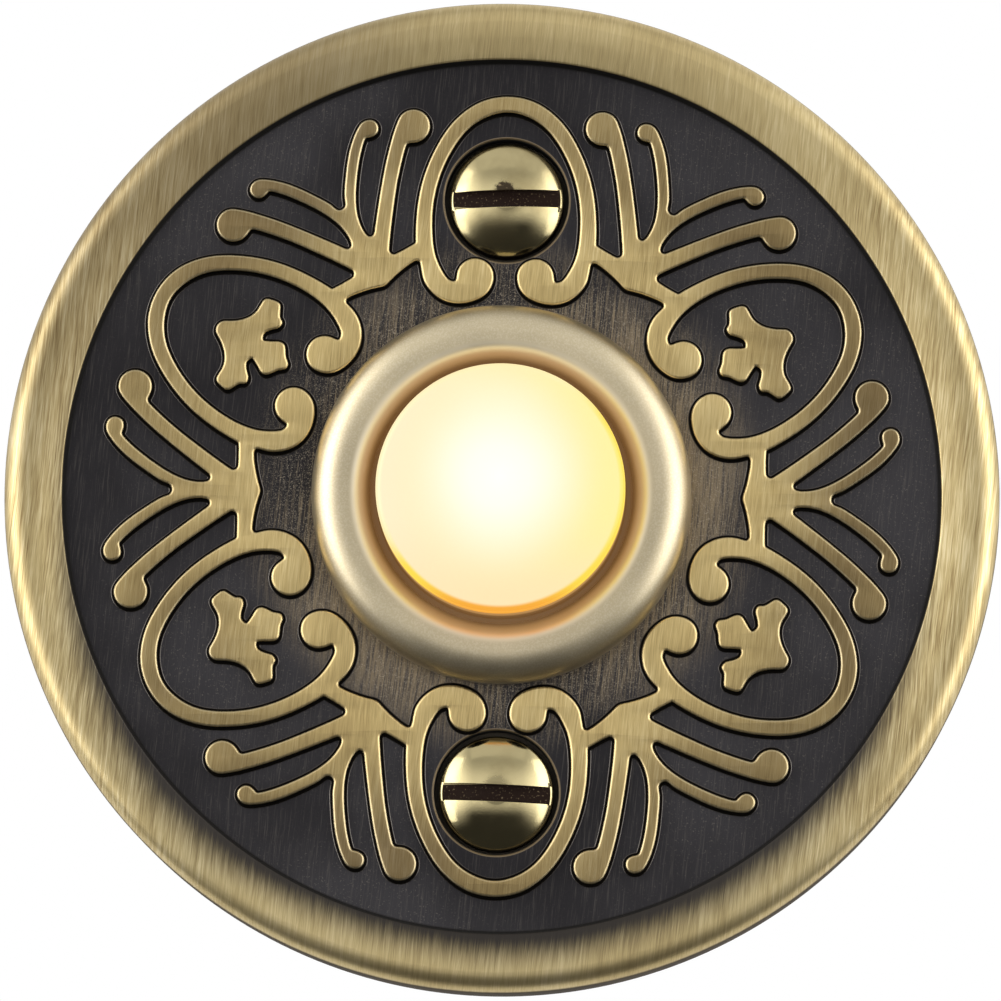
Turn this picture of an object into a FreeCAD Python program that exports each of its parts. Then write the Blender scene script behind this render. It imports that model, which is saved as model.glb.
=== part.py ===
import FreeCAD, Part
import math
import os

# A round lit push button for a door: a cast plate with raised scrollwork, a turned ring round
# a lit cap, and the switch behind it, which hangs in a threaded barrel through the wall.
# Millimetres. The wall is the plane y = 0, the front faces -Y, +Z is up, and the origin is
# the centre of the plate on the wall.

Vector = FreeCAD.Vector
AXIS = Vector(0, 1, 0)
CENTRE = Vector(0, 0, 0)

# plate
plate_edge_round = 0.8
plate_wall = 1.8
web_thickness = 1.8
rim_width = 3.75
rim_height = 1.25
rim_rise = 0.5
rim_crown_round = 6.0
rim_wall_draft = 0.12

# raised scrollwork
relief_height = 0.6
relief_draft = 0.12
lobe_count = 6
screw_lobe_drop = 0.36
curl_room = 3.0
lobe_room = 5.0
root_clearance = 3.37
reach_clearance = 2.43
flat_turn = 24.0
flat_sag = 0.02

# fixing screws and their seats
counterbore_depth = 2.0
screw_hole_clearance = 0.2
boss_wall = 1.55
screw_head_radius = 3.58
screw_head_clearance = 0.37
screw_head_side = 1.5
screw_dome_height = 1.1
screw_neck_radius = 2.0
screw_thread_radius = 1.75
screw_thread_length = 15.5
screw_tip_length = 3.5
screw_slot_width = 1.1
screw_slot_depth = 0.93
upper_slot_turn = -2.0
lower_slot_turn = 1.5

# turned ring with its barrel
ring_flange_width = 1.7
ring_height = 2.8
ring_outer_round = 1.9
ring_crest_width = 0.05
lip_thickness = 2.2
barrel_wall = 1.2
barrel_tail_step = 0.2
barrel_end_land = 1.2
barrel_end_chamfer = 0.3
plate_bore_clearance = 0.1
base_seat_step = 0.3

# washer and nut that clamp the barrel to the plate
washer_width = 2.4
washer_tooth_length = 0.8
washer_tooth_clearance = 0.2
washer_tooth_count = 12
washer_tooth_gap = 2.6
washer_thickness = 0.5
nut_sides = 6
nut_wall = 1.1
nut_thickness = 2.1
nut_recess = 0.2
nut_bore_clearance = 0.05
nut_chamfer = 0.6

# lit cap
cap_gap = 0.6
cap_proud = 2.45
cap_edge_round = 0.45
cap_face_thickness = 1.25
cap_wall = 1.1
cap_flange_width = 1.05
cap_flange_clearance = 0.25
cap_flange_thickness = 1.0
cap_travel = 1.5

# carrier behind the cap
carrier_fit = 0.03
carrier_wall = 2.17
carrier_nose = 2.6
carrier_collar_inset = 0.35
carrier_collar_thickness = 0.8
carrier_tail = 2.4
carrier_ledge_width = 1.4
carrier_ledge_clearance = 0.2
carrier_ledge_thickness = 1.0
carrier_ledge_recess = 1.2

# contact ring on the carrier, with its rivets
contact_ring_thickness = 0.4
contact_ring_inset = 0.05
contact_gap = 0.05
rivet_radius = 0.4
rivet_head_radius = 0.75
rivet_head_height = 0.3
rivet_length = 1.4
rivet_clearance = 0.02

# insulating base in the back of the barrel
base_thickness = 3.0
base_clearance = 0.05
base_edge_chamfer = 0.3

# contact strips and their terminal screws
strip_height = 3.45
strip_width = 3.0
strip_thickness = 0.6
strip_bend_round = 0.5
strip_slot_clearance = 0.05
tab_length = 4.3
tab_width = 4.0
terminal_inset = 2.085
terminal_head_radius = 1.5
terminal_head_height = 1.1
terminal_head_chamfer = 0.25
terminal_shank_radius = 0.9
terminal_shank_length = 3.0
terminal_hole_clearance = 0.05
terminal_hole_end = 0.3
terminal_slot_width = 0.5
terminal_slot_depth = 0.55

# lamp in its holder, with its leads
holder_wall = 0.55
holder_gap = 0.5
holder_socket_depth = 1.0
holder_hub_step = 0.8
hub_clearance = 0.05
lamp_radius = 2.4
lamp_clearance = 0.05
lamp_gap = 1.1
lead_inset = 0.9
lead_radius = 0.25
lead_hole_clearance = 0.06
lead_bend_radius = 0.5
lead_overlap = 0.7

# return spring
spring_wire = 0.5
spring_turns = 4.0
spring_seat_gap = 0.02

# retaining ring
groove_depth = 0.3
retaining_ring_fit = 0.05
retaining_ring_width = 1.2
retaining_ring_thickness = 0.8
retaining_ring_gap = 3.4

# levels along y, which follow from the sizes above: the plate and its nut from the wall
# forward, then the switch from the front back
field_y = -(nut_recess + nut_thickness + washer_thickness + web_thickness)
plate_front_y = field_y - rim_height
rim_inner_y = plate_front_y + rim_rise
relief_y = field_y - relief_height
web_back_y = field_y + web_thickness
nut_front_y = web_back_y + washer_thickness
nut_back_y = nut_front_y + nut_thickness
counterbore_floor_y = field_y + counterbore_depth
ring_crest_y = field_y - ring_height
lip_back_y = ring_crest_y + lip_thickness
cap_front_y = ring_crest_y - cap_proud
cap_inner_y = cap_front_y + cap_face_thickness
cap_flange_back_y = lip_back_y + cap_flange_thickness
collar_back_y = cap_flange_back_y + carrier_collar_thickness
carrier_back_y = collar_back_y + carrier_tail
ledge_back_y = collar_back_y + carrier_ledge_recess
contact_ring_back_y = carrier_back_y + contact_ring_thickness
strip_top_y = contact_ring_back_y + cap_travel + contact_gap
base_front_y = strip_top_y + strip_height
base_back_y = base_front_y + base_thickness
tab_back_y = base_back_y + strip_thickness
groove_back_y = base_back_y + retaining_ring_thickness
barrel_end_y = groove_back_y + barrel_end_land
holder_front_y = ledge_back_y + cap_travel + holder_gap
socket_floor_y = holder_front_y + holder_socket_depth
lamp_front_y = cap_inner_y + cap_travel + lamp_gap

# radii, which follow from the lamp outwards
socket_radius = lamp_radius + lamp_clearance
holder_radius = socket_radius + holder_wall
holder_hub_radius = holder_radius - holder_hub_step
lead_offset = lamp_radius - lead_inset
carrier_ledge_radius = holder_radius + carrier_ledge_clearance
carrier_bore_radius = carrier_ledge_radius + carrier_ledge_width
spring_radius = (holder_radius + carrier_bore_radius) / 2
carrier_radius = carrier_bore_radius + carrier_wall
cap_bore = carrier_radius + carrier_fit
cap_radius = cap_bore + cap_wall
cap_flange_radius = cap_radius + cap_flange_width
carrier_collar_radius = cap_flange_radius - carrier_collar_inset
ring_lip_radius = cap_radius + cap_gap
barrel_bore = cap_flange_radius + cap_flange_clearance
barrel_radius = barrel_bore + barrel_wall
barrel_tail_radius = barrel_radius - barrel_tail_step
ring_radius = barrel_radius + ring_flange_width
ring_lip_round = ring_radius - ring_lip_radius - ring_crest_width - ring_outer_round
washer_radius = barrel_radius + washer_width
nut_flat_radius = barrel_radius + nut_wall
base_bore = barrel_bore + base_seat_step
base_radius = base_bore - base_clearance
groove_radius = base_bore + groove_depth
contact_ring_inner = carrier_bore_radius + contact_ring_inset
contact_ring_outer = carrier_radius - contact_ring_inset
contact_middle = (contact_ring_inner + contact_ring_outer) / 2
strip_inner = contact_middle - strip_thickness / 2
strip_outer = contact_middle + strip_thickness / 2
tab_end = strip_outer - tab_length
terminal_offset = strip_outer - terminal_inset
terminal_hole_radius = terminal_shank_radius + terminal_hole_clearance

# the screws stand clear of the ring, and the rim clear of the screws
screw_hole_radius = screw_neck_radius + screw_hole_clearance
counterbore_radius = screw_head_radius + screw_head_clearance
boss_radius = counterbore_radius + boss_wall
screw_height = ring_radius + curl_room + counterbore_radius
rim_inner_radius = screw_height + counterbore_radius + lobe_room
plate_radius = rim_inner_radius + rim_width

# Outline of the scrollwork. Each entry is a place and the heading in degrees in which the
# outline passes it, and a pair of tangent arcs joins one entry to the next. A lobe's entries
# have v along the lobe's middle line from the plate's centre, and a branch's entries have v
# along the branch's middle line and u towards the lobe. The arcs are cut as short flats, and
# no flat turns by more than flat_turn or leaves its arc by more than flat_sag. The whole
# outline is stretched so that the branches' roots stand root_clearance off the ring and the
# lobes reach to reach_clearance from the rim.
lobe_outside = [
    (0, 25.57, 0),
    (2.4, 24.83, -35),
    (5.0, 21.1, -69.5),
    (5.69, 16.55, -91),
]
branch_outside = [
    (2.95, 16.74, 180),
    (1.65, 16.74, 180),
    (1.31, 17.37, 56),
    (5.45, 22.65, 45),
    (6.6, 22.54, 0),
    (7.56, 23.53, 90),
    (6.6, 24.5, 180),
    (5.93, 24.22, 221),
    (1.38, 18.98, 233),
    (0.82, 18.5, 180),
    (0.43, 19.15, 90),
    (1.5, 22.05, 56),
    (3.35, 24.3, 42),
    (4.1, 24.28, 0),
    (4.53, 24.77, 90),
    (3.97, 25.24, 180),
    (3.4, 25.02, 215),
    (0.75, 21.9, 238),
    (0, 20.93, 180),
]
branch_inside = [
    (0, 15.47, 0),
    (0.45, 15.58, 17),
    (2.4, 15.92, 3),
]
lobe_shoulder = [
    (5.37, 14.83, -104),
]
lobe_curl = [
    (5.0, 13.85, -122),
    (3.0, 12.69, 180),
    (1.55, 13.09, 149),
    (0.84, 14.35, 90),
    (1.95, 15.42, 0),
    (3.0, 14.5, -82),
    (3.06, 14.12, -75),
    (3.3, 13.95, 0),
    (4.2, 14.77, 60),
]
lobe_inside = [
    (4.83, 17.5, 90),
    (4.15, 21.1, 112),
    (1.4, 24.39, 156),
    (0, 24.72, 180),
]
leaf_half = [
    (0, 21.11, 0),
    (0.43, 20.87, -62),
    (1.0, 20.05, -48),
    (2.2, 19.41, -5),
    (2.87, 19.4, -10),
    (3.14, 18.95, -78),
    (3.06, 18.43, -150),
    (2.5, 18.12, -145),
    (2.13, 17.76, 180),
    (1.5, 18.2, 142),
    (1.05, 18.42, 180),
    (0.62, 18.05, -70),
    (1.04, 17.25, -62),
    (0.98, 16.82, -137),
    (0.45, 16.43, -140),
    (0, 16.05, 180),
]


def save(shape, name):
    os.makedirs("parts", exist_ok=True)
    shape.exportStep("parts/" + name + ".step")
    print(name, "volume", round(shape.Volume, 2), "valid", shape.isValid())


def place_of(corner):
    place = corner[2:] if len(corner) == 4 else corner[:2]
    return Vector(place[0], place[1], 0)


def rounding(before, corner, after):
    """The start, middle and end of the arc that rounds a corner."""
    here = place_of(corner)
    radius = corner[2]
    back = place_of(before) - here
    onward = place_of(after) - here
    back.normalize()
    onward.normalize()
    middle = back + onward
    middle.normalize()
    half_angle = back.getAngle(onward) / 2
    reach = radius / math.tan(half_angle)
    crown = here + middle * (radius / math.sin(half_angle) - radius)
    return here + back * reach, crown, here + onward * reach


def section(*corners):
    """A face in the plane z = 0 from its corners in turn. A corner is a place (x, y), a place
    with a rounding radius (x, y, radius), or the middle and the end of an arc (x, y, x, y)."""
    edges = []
    first = None
    here = None
    for i, corner in enumerate(corners):
        middle = None
        start = end = place_of(corner)
        if len(corner) == 3:
            start, middle, end = rounding(corners[i - 1], corner, corners[(i + 1) % len(corners)])
        elif len(corner) == 4:
            start = here
            middle = Vector(corner[0], corner[1], 0)
        if here is None:
            first = start
        elif here.distanceToPoint(start) > 1e-7:
            edges.append(Part.LineSegment(here, start).toShape())
        if middle is not None:
            edges.append(Part.Arc(start, middle, end).toShape())
        here = end
    if here.distanceToPoint(first) > 1e-7:
        edges.append(Part.LineSegment(here, first).toShape())
    return Part.Face(Part.Wire(edges))


def dome(radius, height, apex_y):
    """The arc of a dome's section, from the apex on the axis to the rim."""
    sphere = (radius * radius + height * height) / (2 * height)
    halfway_y = apex_y + sphere - math.sqrt(sphere * sphere - radius * radius / 4)
    return (radius / 2, halfway_y, radius, apex_y + height)


def turned(face):
    return face.revolve(CENTRE, AXIS, 360)


def rod(radius, y_from, y_to, x=0.0, z=0.0):
    return Part.makeCylinder(radius, y_to - y_from, Vector(x, y_from, z), AXIS)


def tube(outer_radius, inner_radius, y_from, y_to):
    return rod(outer_radius, y_from, y_to).cut(rod(inner_radius, y_from, y_to))


def block(x_from, x_to, y_from, y_to, z_from, z_to):
    corner = Vector(x_from, y_from, z_from)
    return Part.makeBox(x_to - x_from, y_to - y_from, z_to - z_from, corner)


def half_turned(shape):
    copy = shape.copy()
    copy.rotate(CENTRE, AXIS, 180)
    return copy


def direction(heading):
    return Vector(math.cos(math.radians(heading)), 0, math.sin(math.radians(heading)))


def turn_between(heading, next_heading):
    return (next_heading - heading + 180) % 360 - 180


def arc_pair(start, start_heading, end, end_heading):
    """Two arcs, tangent to each other and to the headings at both ends."""
    start_tangent = direction(start_heading)
    end_tangent = direction(end_heading)
    chord = end - start
    along = chord.dot(start_tangent + end_tangent)
    bend = 2 * (1 - start_tangent.dot(end_tangent))
    if bend < 1e-9:
        reach = chord.dot(chord) / (2 * along)
    else:
        reach = (math.sqrt(along * along + bend * chord.dot(chord)) - along) / bend
    first_corner = start + start_tangent * reach
    second_corner = end - end_tangent * reach
    link = second_corner - first_corner
    joint = (first_corner + second_corner) * 0.5
    joint_heading = math.degrees(math.atan2(link.z, link.x))
    first_turn = turn_between(start_heading, joint_heading)
    second_turn = turn_between(joint_heading, end_heading)
    if max(abs(first_turn), abs(second_turn)) < 0.01:
        return [(start, start_heading, end, end_heading)]
    return [(start, start_heading, joint, joint_heading), (joint, joint_heading, end, end_heading)]


def fitted(u, v, heading):
    """A drawn place and heading, moved with the ring and the rim."""
    drawn_root = branch_inside[0][1]
    drawn_reach = lobe_outside[0][1]
    root_radius = ring_radius + root_clearance
    reach_radius = rim_inner_radius - reach_clearance
    stretch = (reach_radius - root_radius) / (drawn_reach - drawn_root)
    drawn = math.hypot(u, v)
    radius = root_radius + (drawn - drawn_root) * stretch
    outward = Vector(u / drawn, 0, v / drawn)
    across = Vector(outward.z, 0, -outward.x)
    way = direction(heading)
    new_way = outward * (way.dot(outward) * stretch) + across * (way.dot(across) * radius / drawn)
    return outward * radius, math.degrees(math.atan2(new_way.z, new_way.x))


def arcs_through(places):
    """The arcs of an outline through drawn places (u, v, heading)."""
    arcs = []
    for here, there in zip(places, places[1:]):
        start, start_heading = fitted(*here)
        end, end_heading = fitted(*there)
        arcs.extend(arc_pair(start, start_heading, end, end_heading))
    return arcs


def beside_lobe(places):
    """A branch's places in the measure of the lobe on its left, half a share away."""
    half_share = 180.0 / lobe_count
    towards_lobe = direction(180 - half_share)
    along_branch = direction(90 - half_share)
    moved = []
    for u, v, heading in places:
        place = towards_lobe * u + along_branch * v
        moved.append((place.x, place.z, 180 - half_share - heading))
    return moved


def lowered(places, drop):
    return [(u, v - drop, heading) for u, v, heading in places]


def mirrored(arcs):
    """The same arcs on the other side of u = 0, run the other way."""
    result = []
    for start, start_heading, end, end_heading in reversed(arcs):
        new_start = Vector(-end.x, 0, end.z)
        new_end = Vector(-start.x, 0, start.z)
        result.append((new_start, -end_heading, new_end, -start_heading))
    return result


def swung(arcs, angle):
    """The arcs turned clockwise, as seen from the front, about the plate's centre."""
    turn = FreeCAD.Rotation(AXIS, angle)
    result = []
    for start, start_heading, end, end_heading in arcs:
        new_start = turn.multVec(start)
        new_end = turn.multVec(end)
        result.append((new_start, start_heading - angle, new_end, end_heading - angle))
    return result


def flat_corners(arcs, spread, level):
    """The corners of the flats along the arcs, moved out by a spread to the left."""
    corners = []
    lift = AXIS * level
    for start, start_heading, end, end_heading in arcs:
        turn = turn_between(start_heading, end_heading)
        outward = direction(start_heading + 90)
        corners.append(start + outward * spread + lift)
        if abs(turn) < 0.01:
            continue
        radius = (end - start).Length / 2 / math.sin(math.radians(turn) / 2)
        centre = start + outward * radius
        sag_turn = 2 * math.degrees(math.acos(1 - min(1, flat_sag / abs(radius))))
        count = math.ceil(abs(turn) / min(flat_turn, sag_turn))
        for i in range(1, count):
            heading = start_heading + turn * i / count
            corners.append(centre - direction(heading + 90) * (radius - spread) + lift)
    return corners + [corners[0]]


def scroll_loops():
    """The closed outlines of the scrollwork: the ring of lobes and branches has an outer and
    an inner one, and each lobe without a screw holds a leaf."""
    outer = []
    inner = []
    leaves = []
    outside = arcs_through(lobe_outside + beside_lobe(branch_outside))
    leaf = arcs_through(leaf_half)
    for i in range(lobe_count):
        angle = i * 360.0 / lobe_count
        has_screw = i % (lobe_count // 2) == 0
        curl = lowered(lobe_curl, screw_lobe_drop) if has_screw else lobe_curl
        inside = arcs_through(beside_lobe(branch_inside) + lobe_shoulder + curl + lobe_inside)
        outer = outer + swung(mirrored(outside) + outside, angle)
        inner = swung(inside + mirrored(inside), angle) + inner
        if not has_screw:
            leaves.append(swung(leaf + mirrored(leaf), angle))
    return [outer, inner] + leaves


def holed_face(wires):
    face = Part.Face(wires)
    face.validate()
    return face


def with_scrollwork(body):
    """The plate with its flat field opened round the scrollwork, and the leaning walls and
    tops of the scrollwork set into it."""
    faces = []
    for face in body.Faces:
        box = face.BoundBox
        if abs(box.YMin - field_y) < 1e-6 and abs(box.YMax - field_y) < 1e-6:
            field = face
        else:
            faces.append(face)
    tops = []
    feet = []
    for loop in scroll_loops():
        top = flat_corners(loop, 0, relief_y)
        foot = flat_corners(loop, relief_draft, field_y)
        for i in range(len(top) - 1):
            corners = [top[i], top[i + 1], foot[i + 1], foot[i], top[i]]
            faces.append(Part.Face(Part.makePolygon(corners)))
        tops.append(Part.makePolygon(top))
        feet.append(Part.makePolygon(foot))
    rim = field.OuterWire
    openings = [wire for wire in field.Wires if not wire.isSame(rim)]
    faces.append(holed_face([rim, feet[0]]))
    faces.append(holed_face([feet[1]] + openings + feet[2:]))
    faces.append(holed_face(tops[:2]))
    for top in tops[2:]:
        faces.append(Part.Face(top))
    joined = Part.makeCompound(faces)
    joined.sewShape()
    solid = Part.Solid(joined.Shells[0])
    if solid.Volume < 0:
        solid.reverse()
    return solid


def escutcheon():
    bore = barrel_radius + plate_bore_clearance
    hollow_radius = plate_radius - plate_wall
    crown_radius = (rim_inner_radius + plate_radius) / 2
    body = turned(section(
        (bore, field_y),
        (rim_inner_radius - rim_wall_draft, field_y),
        (rim_inner_radius, rim_inner_y),
        (crown_radius, plate_front_y, rim_crown_round),
        (plate_radius, plate_front_y, plate_edge_round),
        (plate_radius, 0),
        (hollow_radius, 0),
        (hollow_radius, web_back_y),
        (bore, web_back_y),
    ))
    for z in (screw_height, -screw_height):
        body = body.fuse(rod(boss_radius, web_back_y, 0, 0, z))
        body = body.cut(rod(counterbore_radius, plate_front_y, counterbore_floor_y, 0, z))
        body = body.cut(rod(screw_hole_radius, counterbore_floor_y, 0, 0, z))
    return with_scrollwork(body)


def bezel_ring():
    tail_chamfer_radius = barrel_tail_radius - barrel_end_chamfer
    return turned(section(
        (ring_lip_radius, ring_crest_y, ring_lip_round),
        (ring_lip_radius, lip_back_y),
        (barrel_bore, lip_back_y),
        (barrel_bore, base_front_y),
        (base_bore, base_front_y),
        (base_bore, base_back_y),
        (groove_radius, base_back_y),
        (groove_radius, groove_back_y),
        (base_bore, groove_back_y),
        (base_bore, barrel_end_y),
        (tail_chamfer_radius, barrel_end_y),
        (barrel_tail_radius, barrel_end_y - barrel_end_chamfer),
        (barrel_tail_radius, 0),
        (barrel_radius, 0),
        (barrel_radius, field_y),
        (ring_radius, field_y),
        (ring_radius, ring_crest_y, ring_outer_round),
    ))


def lock_washer():
    bore = barrel_radius + washer_tooth_clearance
    half_gap = washer_tooth_gap / 2
    washer = tube(washer_radius, bore, web_back_y, nut_front_y)
    for i in range(washer_tooth_count):
        gap = block(0, bore + washer_tooth_length, web_back_y, nut_front_y, -half_gap, half_gap)
        gap.rotate(CENTRE, AXIS, i * 360.0 / washer_tooth_count)
        washer = washer.cut(gap)
    return washer


def lock_nut():
    bore = barrel_radius + nut_bore_clearance
    corner_radius = nut_flat_radius / math.cos(math.pi / nut_sides)
    corners = []
    for i in range(nut_sides + 1):
        corners.append(direction(i * 360.0 / nut_sides) * corner_radius + AXIS * nut_front_y)
    prism = Part.Face(Part.makePolygon(corners)).extrude(AXIS * nut_thickness)
    return prism.common(turned(section(
        (bore, nut_front_y),
        (nut_flat_radius, nut_front_y),
        (corner_radius, nut_front_y + nut_chamfer),
        (corner_radius, nut_back_y - nut_chamfer),
        (nut_flat_radius, nut_back_y),
        (bore, nut_back_y),
    )))


def mounting_screw(z, slot_turn):
    side_top_y = counterbore_floor_y - screw_head_side
    apex_y = side_top_y - screw_dome_height
    half_slot = screw_slot_width / 2
    screw = turned(section(
        (0, apex_y),
        dome(screw_head_radius, screw_dome_height, apex_y),
        (screw_head_radius, counterbore_floor_y),
        (screw_neck_radius, counterbore_floor_y),
        (screw_neck_radius, 0),
        (screw_thread_radius, 0),
        (screw_thread_radius, screw_thread_length),
        (0, screw_thread_length + screw_tip_length),
    ))
    slot_floor_y = apex_y + screw_slot_depth
    slot = block(-screw_head_radius, screw_head_radius, apex_y, slot_floor_y, -half_slot, half_slot)
    slot.rotate(CENTRE, AXIS, slot_turn)
    screw = screw.cut(slot)
    screw.translate(Vector(0, 0, z))
    return screw


def button_cap():
    return turned(section(
        (0, cap_front_y),
        (cap_radius, cap_front_y, cap_edge_round),
        (cap_radius, lip_back_y),
        (cap_flange_radius, lip_back_y),
        (cap_flange_radius, cap_flange_back_y),
        (cap_bore, cap_flange_back_y),
        (cap_bore, cap_inner_y),
        (0, cap_inner_y),
    ))


def contact_carrier():
    nose_y = cap_flange_back_y - carrier_nose
    ledge_front_y = ledge_back_y - carrier_ledge_thickness
    carrier = turned(section(
        (carrier_bore_radius, nose_y),
        (carrier_radius, nose_y),
        (carrier_radius, cap_flange_back_y),
        (carrier_collar_radius, cap_flange_back_y),
        (carrier_collar_radius, collar_back_y),
        (carrier_radius, collar_back_y),
        (carrier_radius, carrier_back_y),
        (carrier_bore_radius, carrier_back_y),
        (carrier_bore_radius, ledge_back_y),
        (carrier_ledge_radius, ledge_back_y),
        (carrier_ledge_radius, ledge_front_y),
        (carrier_bore_radius, ledge_front_y),
    ))
    hole_radius = rivet_radius + rivet_clearance
    hole_end_y = contact_ring_back_y - rivet_length - rivet_clearance
    for z in (contact_middle, -contact_middle):
        carrier = carrier.cut(rod(hole_radius, hole_end_y, carrier_back_y, 0, z))
    return carrier


def contact_ring():
    ring = tube(contact_ring_outer, contact_ring_inner, carrier_back_y, contact_ring_back_y)
    hole_radius = rivet_radius + rivet_clearance
    for z in (contact_middle, -contact_middle):
        ring = ring.cut(rod(hole_radius, carrier_back_y, contact_ring_back_y, 0, z))
    return ring


def contact_rivet(z):
    end_y = contact_ring_back_y - rivet_length
    head_back_y = contact_ring_back_y + rivet_head_height
    shank = rod(rivet_radius, end_y, contact_ring_back_y, 0, z)
    return shank.fuse(rod(rivet_head_radius, contact_ring_back_y, head_back_y, 0, z))


def switch_base():
    base = turned(section(
        (0, base_front_y),
        (base_radius, base_front_y),
        (base_radius, base_back_y - base_edge_chamfer),
        (base_radius - base_edge_chamfer, base_back_y),
        (0, base_back_y),
    ))
    base = base.cut(rod(holder_hub_radius + hub_clearance, base_front_y, base_back_y))
    slot_reach = strip_width / 2 + strip_slot_clearance
    slot_inner = strip_inner - strip_slot_clearance
    slot_outer = strip_outer + strip_slot_clearance
    slot = block(slot_inner, slot_outer, base_front_y, base_back_y, -slot_reach, slot_reach)
    hole_end_y = tab_back_y - terminal_shank_length - terminal_hole_end
    hole = rod(terminal_hole_radius, hole_end_y, base_back_y, terminal_offset)
    for opening in (slot, hole):
        base = base.cut(opening).cut(half_turned(opening))
    return base


def retaining_ring():
    outer_radius = groove_radius - retaining_ring_fit
    inner_radius = outer_radius - retaining_ring_width
    half_gap = retaining_ring_gap / 2
    ring = tube(outer_radius, inner_radius, base_back_y, groove_back_y)
    return ring.cut(block(-half_gap, half_gap, base_back_y, groove_back_y, -outer_radius, 0))


def lamp_holder():
    hole_radius = lead_radius + lead_hole_clearance
    holder = turned(section(
        (0, socket_floor_y),
        (socket_radius, socket_floor_y),
        (socket_radius, holder_front_y),
        (holder_radius, holder_front_y),
        (holder_radius, base_front_y),
        (holder_hub_radius, base_front_y),
        (holder_hub_radius, base_back_y),
        (0, base_back_y),
    ))
    for z in (lead_offset, -lead_offset):
        holder = holder.cut(rod(hole_radius, socket_floor_y, base_back_y, 0, z))
    return holder


def lamp():
    return turned(section(
        (0, lamp_front_y),
        dome(lamp_radius, lamp_radius, lamp_front_y),
        (lamp_radius, socket_floor_y),
        (0, socket_floor_y),
    ))


def lamp_lead():
    """The right lead: through the holder, then bent to the right to lie on the strip's tab."""
    tab_line_y = tab_back_y + lead_radius
    bend_y = tab_line_y - lead_bend_radius
    bend_start = Vector(0, bend_y, lead_offset)
    wire_cut = Part.Face(Part.Wire([Part.makeCircle(lead_radius, bend_start, AXIS)]))
    bend_centre = Vector(lead_bend_radius, bend_y, lead_offset)
    bend = wire_cut.revolve(bend_centre, Vector(0, 0, 1), -90)
    tail_length = tab_end + lead_overlap - lead_bend_radius
    tail_start = Vector(lead_bend_radius, tab_line_y, lead_offset)
    tail = Part.makeCylinder(lead_radius, tail_length, tail_start, Vector(1, 0, 0))
    return rod(lead_radius, socket_floor_y, bend_y, 0, lead_offset).fuse([bend, tail])


def contact_strip():
    """The right strip: a blade through the base, with its tab bent in behind the base."""
    profile = section(
        (strip_inner, strip_top_y),
        (strip_outer, strip_top_y),
        (strip_outer, tab_back_y, strip_bend_round),
        (tab_end, tab_back_y),
        (tab_end, base_back_y),
        (strip_inner, base_back_y),
    )
    profile.translate(Vector(0, 0, -tab_width / 2))
    strip = profile.extrude(Vector(0, 0, tab_width))
    half_width = strip_width / 2
    for z_from, z_to in ((half_width, tab_width), (-tab_width, -half_width)):
        side = block(strip_inner, strip_outer, strip_top_y, tab_back_y, z_from, z_to)
        strip = strip.cut(side)
    return strip.cut(rod(terminal_hole_radius, base_back_y, tab_back_y, terminal_offset))


def terminal_screw():
    end_y = tab_back_y - terminal_shank_length
    head_back_y = tab_back_y + terminal_head_height
    half_slot = terminal_slot_width / 2
    screw = turned(section(
        (0, end_y),
        (terminal_shank_radius, end_y),
        (terminal_shank_radius, tab_back_y),
        (terminal_head_radius, tab_back_y),
        (terminal_head_radius, head_back_y - terminal_head_chamfer),
        (terminal_head_radius - terminal_head_chamfer, head_back_y),
        (0, head_back_y),
    ))
    slot_floor_y = head_back_y - terminal_slot_depth
    reach = terminal_head_radius
    screw = screw.cut(block(-reach, reach, slot_floor_y, head_back_y, -half_slot, half_slot))
    screw.translate(Vector(terminal_offset, 0, 0))
    return screw


def return_spring():
    front_y = ledge_back_y + spring_seat_gap
    length = base_front_y - spring_seat_gap - front_y - spring_wire
    coil_line = Part.makeHelix(length / spring_turns, length, spring_radius)
    half = spring_wire / 2
    inner = spring_radius - half
    outer = spring_radius + half
    wire_cut = Part.makePolygon([
        Vector(inner, 0, -half),
        Vector(outer, 0, -half),
        Vector(outer, 0, half),
        Vector(inner, 0, half),
        Vector(inner, 0, -half),
    ])
    spring = Part.Wire(coil_line).makePipeShell([wire_cut], True, True)
    spring.rotate(CENTRE, Vector(1, 0, 0), -90)
    spring.translate(AXIS * (front_y + half))
    return spring


save(escutcheon(), "escutcheon")
save(bezel_ring(), "bezel_ring")
save(lock_washer(), "lock_washer")
save(lock_nut(), "lock_nut")
save(mounting_screw(screw_height, upper_slot_turn), "upper_mounting_screw")
save(mounting_screw(-screw_height, lower_slot_turn), "lower_mounting_screw")
save(button_cap(), "button_cap")
save(contact_carrier(), "contact_carrier")
save(contact_ring(), "contact_ring")
save(contact_rivet(contact_middle), "upper_contact_rivet")
save(contact_rivet(-contact_middle), "lower_contact_rivet")
save(switch_base(), "switch_base")
save(retaining_ring(), "retaining_ring")
save(lamp_holder(), "lamp_holder")
save(lamp(), "lamp")
save(lamp_lead(), "right_lamp_lead")
save(half_turned(lamp_lead()), "left_lamp_lead")
save(contact_strip(), "right_contact_strip")
save(half_turned(contact_strip()), "left_contact_strip")
save(terminal_screw(), "right_terminal_screw")
save(half_turned(terminal_screw()), "left_terminal_screw")
save(return_spring(), "return_spring")
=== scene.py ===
import bpy
import bmesh
import math
from mathutils import Matrix, Vector


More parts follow.
